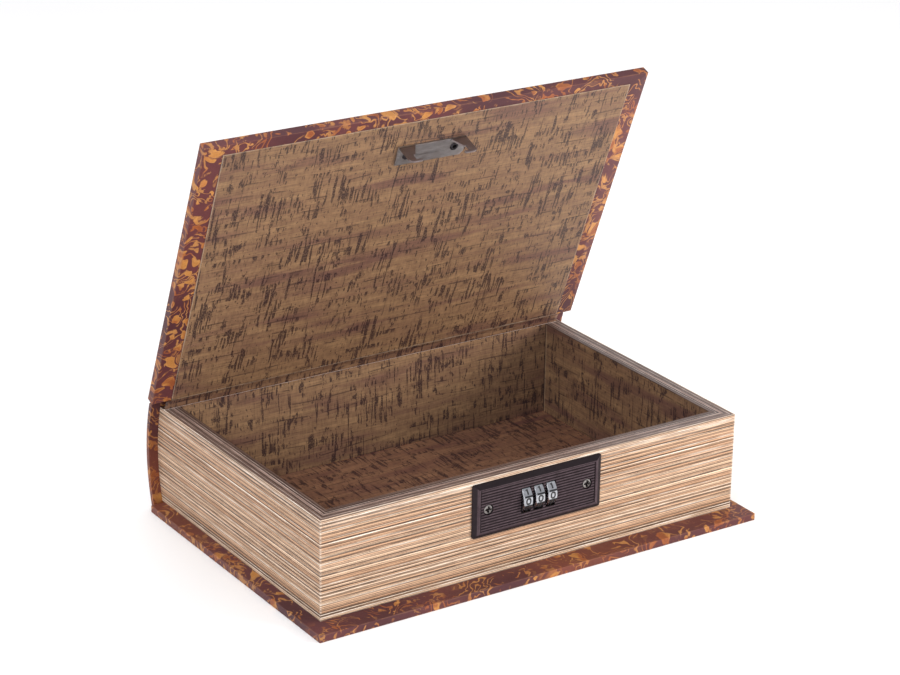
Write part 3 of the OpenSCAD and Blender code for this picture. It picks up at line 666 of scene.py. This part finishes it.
NODE_FINISH = {
    "base_board": "grey_board", "base_cover_paper": "base_paper", "front_wall": "fibreboard",
    "back_wall": "fibreboard", "left_wall": "fibreboard", "right_wall": "fibreboard",
    "page_edge_paper": "page_edge", "rim_paper": "page_rim", "wall_lining": "wall_bamboo",
    "floor_lining": "floor_bamboo", "spine_board": "grey_board", "spine_cover_paper": "spine_paper",
    "lid_board": "grey_board", "lid_cover_paper": "lid_paper", "lid_lining": "lid_bamboo",
    "striker_plate": "striker_zinc", "striker_screw": "black_steel",
    "striker_eyelet": "black_steel",
    "lock_faceplate": "plum_black", "lock_case": "zinc", "lock_screws": "screw_steel",
    "wheel_axle": "pin_steel", "number_wheel_1": "chrome", "number_wheel_2": "chrome",
    "number_wheel_3": "chrome", "cam_sleeve_1": "brass", "cam_sleeve_2": "brass",
    "cam_sleeve_3": "brass", "detent_spring": "pin_steel", "detent_rivets": "pin_steel",
    "latch_plate": "satin_steel", "latch_guide_pins": "pin_steel",
}


def dress(obj, finish):
    """Gives an object one finish all over."""
    obj.data.materials.clear()
    obj.data.materials.append(finishes[finish])


def soften(obj, width):
    """Breaks a part's sharp edges with a small round, width in millimetres."""
    weld = obj.modifiers.new("weld", "WELD")
    weld.merge_threshold = 0.002 * MM
    edge = obj.modifiers.new("edge", "BEVEL")
    edge.width = width * MM
    edge.segments = 2
    edge.limit_method = "ANGLE"
    edge.angle_limit = math.radians(35)


for name, finish in NODE_FINISH.items():
    dress(nodes[name], finish)
for name, width in {"base_cover_paper": 0.35, "lid_cover_paper": 0.4, "lock_faceplate": 0.06,
                    "striker_plate": 0.12, "number_wheel_1": 0.12, "number_wheel_2": 0.12,
                    "number_wheel_3": 0.12, "lock_screws": 0.08, "striker_screw": 0.06}.items():
    soften(nodes[name], width)


# ---------- Pieces made here ----------

def piece(name, verts, faces, finish, smooth=True):
    """A mesh object from points in millimetres."""
    mesh = bpy.data.meshes.new(name)
    mesh.from_pydata([mm(*v) for v in verts], [], faces)
    made = bmesh.new()
    made.from_mesh(mesh)
    bmesh.ops.recalc_face_normals(made, faces=made.faces)
    made.to_mesh(mesh)
    made.free()
    for polygon in mesh.polygons:
        polygon.use_smooth = smooth
    obj = bpy.data.objects.new(name, mesh)
    bpy.context.scene.collection.objects.link(obj)
    dress(obj, finish)
    return obj


def smooth_line(points, count):
    """Points along a smooth line through [y, z] control points."""
    padded = [points[0], *points, points[-1]]
    spans = len(points) - 1
    line = []
    for i in range(count + 1):
        t = i / count * spans
        k = min(int(t), spans - 1)
        t -= k
        p0, p1, p2, p3 = padded[k:k + 4]
        line.append(tuple(
            0.5 * (2 * b + (c - a) * t + (2 * a - 5 * b + 4 * c - d) * t * t
                   + (3 * b - a - 3 * c + d) * t ** 3)
            for a, b, c, d in zip(p0, p1, p2, p3)))
    return line


def folded_strip(name, profile, x0, x1, thick, ripple, finish, seed):
    """A rippled paper strip along X with a curved [y, z] section, two faces and closed edges.

    Its UVs lay it out flat, in metres along X and along the section.
    """
    line = smooth_line(profile, 18)
    columns = 120
    waves_x, waves_across = 0.09, 0.12
    verts, faces = [], []
    rows = len(line)
    for side in (0, 1):
        for c in range(columns + 1):
            x = x0 + (x1 - x0) * c / columns
            for r, (y, z) in enumerate(line):
                a, b = line[max(r - 1, 0)], line[min(r + 1, rows - 1)]
                ty, tz = b[0] - a[0], b[1] - a[1]
                length = math.hypot(ty, tz) or 1
                ny, nz = tz / length, -ty / length
                free = math.sin(math.pi * r / (rows - 1))
                wave = noise.noise((x * waves_x, r * waves_across, seed))
                push = ripple * free * wave + side * thick
                verts.append((x, y + ny * push, z + nz * push))
    step = (columns + 1) * rows
    for c in range(columns):
        for r in range(rows - 1):
            a = c * rows + r
            faces.append((a, a + 1, a + rows + 1, a + rows))
            faces.append((step + a, step + a + rows, step + a + rows + 1, step + a + 1))
    for c in range(columns):
        for r in (0, rows - 1):
            a = c * rows + r
            faces.append((a, a + rows, step + a + rows, step + a))
    for c in (0, columns):
        for r in range(rows - 1):
            a = c * rows + r
            faces.append((a, a + 1, step + a + 1, step + a))
    strip = piece(name, verts, faces, finish)
    lengths = [0.0]
    for a, b in zip(line, line[1:]):
        lengths.append(lengths[-1] + math.dist(a, b))
    layout = strip.data.uv_layers.new(name="lie")
    for loop in strip.data.loops:
        index = loop.vertex_index
        layout.data[loop.index].uv = (verts[index][0] * MM, lengths[index % rows] * MM)
    return strip


# Paper hinges: one outside, from the spine's top edge to the lid, and one inside
outer_fold = folded_strip("hinge_cover_fold",
                          [(79.9, 56.6), (79.98, 57.9), (79.35, 59.2), (78.1, 60.8),
                           from_lid(-3.1, 2.25), from_lid(-4.6, 2.2)],
                          -125.2, 125.2, 0.35, 0.3, "fold_paper", 3.0)
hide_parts("hinge_cover_strip")
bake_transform(outer_fold)

inner_fold = folded_strip("hinge_lining_fold",
                          [(74.6, 55.22), (73.75, 55.3), (73.35, 56.0), (72.95, 57.6), (72.3, 59.3),
                           from_lid(-3.15, -3.3)],
                          -120.7, 118.6, -0.2, 0.12, "crease_bamboo", 8.0)
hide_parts("hinge_lining_strip")
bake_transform(inner_fold)


def coil_spring(name, x):
    """Round-wire compression spring on a guide pin, with a closed turn at each end."""
    wire, radius, ring, steps, turns = 0.18, 1.65, 10, 30, 6
    y0, y1 = -76.9 + wire, -73.5 - wire
    closed_rise = 0.14
    verts, faces = [], []
    count = turns * steps
    for i in range(count + 1):
        t = i / count * turns
        open_turns = min(max(t - 1, 0), turns - 2) / (turns - 2)
        closed_turns = min(t, 1) + max(t - turns + 1, 0)
        rise = (1 - 2 * closed_rise) * open_turns + closed_rise * closed_turns
        y = y0 + (y1 - y0) * rise
        angle = 2 * math.pi * t
        for k in range(ring):
            a = 2 * math.pi * k / ring
            r = radius + wire * math.cos(a)
            verts.append((x + r * math.cos(angle), y + wire * math.sin(a),
                          LATCH_Z + r * math.sin(angle)))
    for i in range(count):
        for k in range(ring):
            a, b = i * ring + k, i * ring + (k + 1) % ring
            faces.append((a, b, b + ring, a + ring))
    faces.append(tuple(range(ring)))
    faces.append(tuple(count * ring + k for k in range(ring)))
    return piece(name, verts, faces, "pin_steel")


for side, x in (("left", CATCH_X - PIN_OFFSET), ("right", CATCH_X + PIN_OFFSET)):
    spring = coil_spring(f"coil_spring_{side}", x)
    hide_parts(f"latch_spring_{side}")
    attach(spring, "base")
    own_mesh(spring)


# ---------- Digits on the wheels ----------

def arc(cx, cz, rx, rz, start, end, count=14):
    """Points on an ellipse; angles in degrees, measured from +X towards +Z."""
    angles = [math.radians(start + (end - start) * i / count) for i in range(count + 1)]
    return [(cx + rx * math.cos(a), cz + rz * math.sin(a)) for a in angles]


def round_loop(cx, cz, rx, rz, power=2.6, count=36):
    """A closed, slightly squared oval."""
    loop = []
    for i in range(count):
        a = 2 * math.pi * i / count
        c, s = math.cos(a), math.sin(a)
        loop.append((cx + rx * math.copysign(abs(c) ** (2 / power), c),
                     cz + rz * math.copysign(abs(s) ** (2 / power), s)))
    return loop


# Each digit is a list of (closed, points) strokes in a box from -1 to 1
SIX = [(True, round_loop(0, -0.38, 0.86, 0.62)), (False, arc(0.35, -0.2, 1.2, 1.2, 178, 103))]
DIGITS = {
    0: [(True, round_loop(0, 0, 0.86, 1))],
    1: [(False, [(-0.5, 0.55), (0.12, 1), (0.12, -1)])],
    2: [(False, arc(0, 0.42, 0.84, 0.58, 165, -25) + [(-0.84, -1), (0.88, -1)])],
    3: [(False, arc(-0.02, 0.5, 0.8, 0.5, 150, -88)),
        (False, arc(-0.02, -0.48, 0.86, 0.52, 88, -150))],
    4: [(False, [(0.4, -1), (0.4, 1), (-0.88, -0.42), (0.95, -0.42)])],
    5: [(False, [(0.78, 1), (-0.62, 1), (-0.72, 0.1)] + arc(0, -0.34, 0.84, 0.66, 140, -150))],
    6: SIX,
    7: [(False, [(-0.84, 1), (0.84, 1), (-0.2, -1)])],
    8: [(True, round_loop(0, 0.5, 0.7, 0.5)), (True, round_loop(0, -0.46, 0.86, 0.54))],
    9: [(closed, [(-x, -z) for x, z in points]) for closed, points in SIX],
}


def stroke(points, closed, width):
    """The left and right rims of a ribbon of even width along points."""
    left, right = [], []
    count = len(points)
    for i, (x, z) in enumerate(points):
        before = points[i - 1] if i or closed else points[i]
        after = points[(i + 1) % count] if i < count - 1 or closed else points[i]
        dx, dz = after[0] - before[0], after[1] - before[1]
        length = math.hypot(dx, dz) or 1
        nx, nz = -dz / length * width / 2, dx / length * width / 2
        left.append((x + nx, z + nz))
        right.append((x - nx, z - nz))
    return left, right


def wheel_digits(name, x_mid):
    """Ten raised digits on the wheel's flats; 0 faces the front and 1 is above it."""
    half_w, half_h, width = 1.3, 1.4, 0.86
    deep, proud = 0.03, 0.012
    verts, faces = [], []
    for digit, strokes in DIGITS.items():
        turn = math.radians(36 * digit)
        for closed, points in strokes:
            rims = stroke([(px * half_w, pz * half_h) for px, pz in points], closed, width)
            start = len(verts)
            count = len(points)
            for out in (WHEEL_APOTHEM + proud, WHEEL_APOTHEM - deep):
                for rim in rims:
                    for px, pz in rim:
                        y = -out * math.cos(turn) + pz * math.sin(turn)
                        z = out * math.sin(turn) + pz * math.cos(turn)
                        verts.append((x_mid + px, AXLE_Y + y, LOCK_Z + z))
            for i in range(count if closed else count - 1):
                a, b = start + i, start + (i + 1) % count
                faces.append((a, b, b + count, a + count))
                faces.append((a + 2 * count, a + 3 * count, b + 3 * count, b + 2 * count))
                faces.append((a, a + 2 * count, b + 2 * count, b))
                faces.append((a + count, b + count, b + 3 * count, a + 3 * count))
            if not closed:
                for i in (0, count - 1):
                    a = start + i
                    faces.append((a, a + count, a + 3 * count, a + 2 * count))
    return piece(name, verts, faces, "digit_black", smooth=False)


for index in (1, 2, 3):
    digits = wheel_digits(f"wheel_{index}_digits", (index - 2) * WHEEL_PITCH)
    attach(digits, f"wheel_{index}")


# ---------- Floor, light and camera ----------

def make_floor():
    """A plain pale floor, a little uneven in tone."""
    mesh = bpy.data.meshes.new("floor")
    mesh.from_pydata([(-6, -6, 0), (6, -6, 0), (6, 6, 0), (-6, 6, 0)], [], [(0, 1, 2, 3)])
    floor = bpy.data.objects.new("floor", mesh)
    bpy.context.scene.collection.objects.link(floor)
    material, net, shader, place = finish_for("pale_floor")
    tone = net.noise(place["Object"], 3.0, 2.0)
    net.put(shader.inputs["Base Color"], net.blend(tone, (0.93, 0.93, 0.93), (0.95, 0.95, 0.95)))
    shader.inputs["Roughness"].default_value = 0.9
    shader.inputs["Specular IOR Level"].default_value = 0.1
    mesh.materials.append(material)


def area_light(name, place, target, size, power, colour=(1, 1, 1), mirrored=True):
    """A soft lamp aimed at target, in watts. One that isn't mirrored lights without glare."""
    data = bpy.data.lights.new(name, "AREA")
    data.shape = "RECTANGLE"
    data.size, data.size_y = size
    data.energy = power
    data.color = colour
    lamp = bpy.data.objects.new(name, data)
    lamp.location = place
    lamp.visible_glossy = mirrored
    lamp.rotation_euler = (Vector(target) - Vector(place)).to_track_quat("-Z", "Y").to_euler()
    bpy.context.scene.collection.objects.link(lamp)


def make_studio():
    """White walls that fade to a dimmer ceiling, a low key light, a fill and a top light."""
    make_floor()
    world = bpy.data.worlds.new("studio")
    world.use_nodes = True
    net = Net(world.node_tree)
    height = net.parts(net.add("TexCoord").outputs["Generated"])[2]
    background = world.node_tree.nodes["Background"].inputs
    walls, ceiling = (1.0, 1.0, 1.0), (0.5, 0.5, 0.52)
    net.put(background["Color"], net.blend(net.step(height, 0.08, 0.85), walls, ceiling))
    net.put(background["Strength"], 1.12)
    bpy.context.scene.world = world
    area_light("key", (0.95, -0.8, 0.36), (0.04, 0, 0.1), (0.6, 0.6), 18, (1, 0.98, 0.94),
               mirrored=False)
    area_light("fill", (-1.3, -0.7, 1.1), (0, 0, 0.03), (0.9, 0.9), 15)
    area_light("top", (-0.2, 0.5, 1.7), (0, 0, 0), (1.4, 1.0), 9)
    bpy.context.scene.view_settings.view_transform = "Standard"


def make_camera():
    """A long lens at the front left, a little above the box."""
    azimuth, elevation, roll = (math.radians(a) for a in (-33.49, 21.33, 0.88))
    aim, distance = Vector(mm(0.95, 0, 94.2)), 1.3703
    back = Vector((math.sin(azimuth) * math.cos(elevation),
                   -math.cos(azimuth) * math.cos(elevation), math.sin(elevation)))
    level = Vector((0, 0, 1)).cross(back).normalized()
    upright = back.cross(level)
    right = math.cos(roll) * level + math.sin(roll) * upright
    up = math.cos(roll) * upright - math.sin(roll) * level
    data = bpy.data.cameras.new("camera")
    data.sensor_width = 36
    data.lens = 110.34
    camera = bpy.data.objects.new("camera", data)
    camera.matrix_world = Matrix((right, up, back)).transposed().to_4x4()
    camera.location = aim + back * distance
    data.clip_start, data.clip_end = 0.05, 30
    bpy.context.scene.collection.objects.link(camera)
    bpy.context.scene.camera = camera


make_studio()
make_camera()
